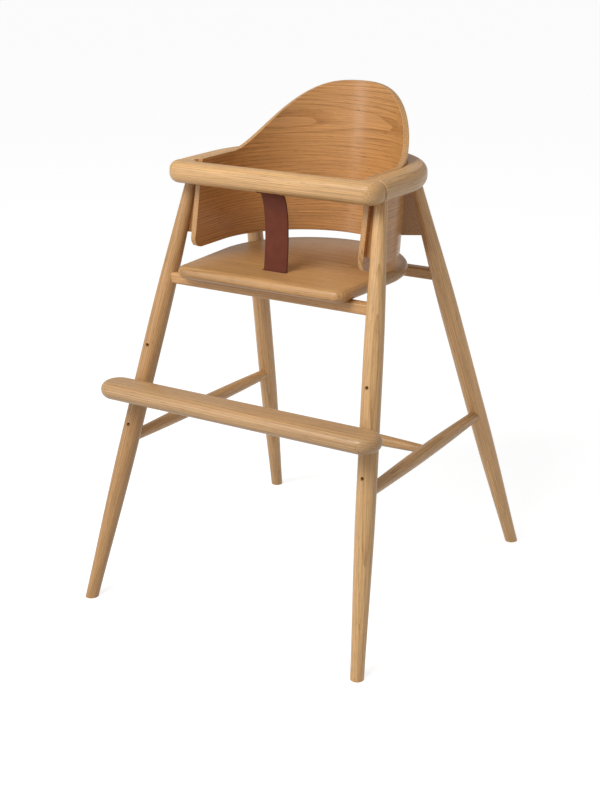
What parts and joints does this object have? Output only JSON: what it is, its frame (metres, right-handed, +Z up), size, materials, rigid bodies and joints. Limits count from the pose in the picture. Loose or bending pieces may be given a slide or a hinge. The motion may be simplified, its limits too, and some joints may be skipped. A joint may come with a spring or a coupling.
{
  "type": "baby high chair",
  "caption": "Oak high chair: round splayed legs, bent plywood back shell inside a round arm rail, front bar with a leather crotch strap, board seat and a bolted footrest.",
  "frame": {"origin": "on the floor, at the middle of the four feet", "axes": "+Z up; +Y from the front bar to the back of the shell; +X to the right, seen from the front"},
  "size_m": [0.5544, 0.6192, 0.855],
  "materials": {
    "oak": "satin oil",
    "oak_plywood": "satin lacquer",
    "leather": "satin",
    "steel": "satin",
    "brass": "satin"
  },
  "bodies": {
    "chair": {"front_left_leg": "oak", "front_right_leg": "oak", "rear_left_leg": "oak", "rear_right_leg": "oak", "arm_rail": "oak", "front_bar": "oak", "bar_dowels": "oak", "back_shell": "oak_plywood", "front_left_wedge": "oak", "front_right_wedge": "oak", "rear_left_wedge": "oak", "rear_right_wedge": "oak", "seat_board": "oak", "front_seat_rail": "oak", "rear_seat_rail": "oak", "seat_screws": "steel", "left_side_stretcher": "oak", "right_side_stretcher": "oak", "cross_stretcher": "oak", "crotch_strap": "leather", "strap_top_screws": "brass", "strap_bottom_screws": "brass"},
    "footrest": {"footrest_board": "oak", "footrest_inserts": "brass"},
    "left_bolt": {"left_footrest_bolt": "steel"},
    "right_bolt": {"right_footrest_bolt": "steel"}
  },
  "joints": [
    {"name": "footrest_release", "type": "slide", "parent": "chair", "child": "footrest", "axis": [0, -1, 0], "range_m": [0, 0.03]},
    {"name": "left_bolt_draw", "type": "slide", "parent": "chair", "child": "left_bolt", "axis": [0, 1, 0], "range_m": [0, 0.05]},
    {"name": "right_bolt_draw", "type": "slide", "parent": "chair", "child": "right_bolt", "axis": [0, 1, 0], "range_m": [0, 0.05]}
  ]
}
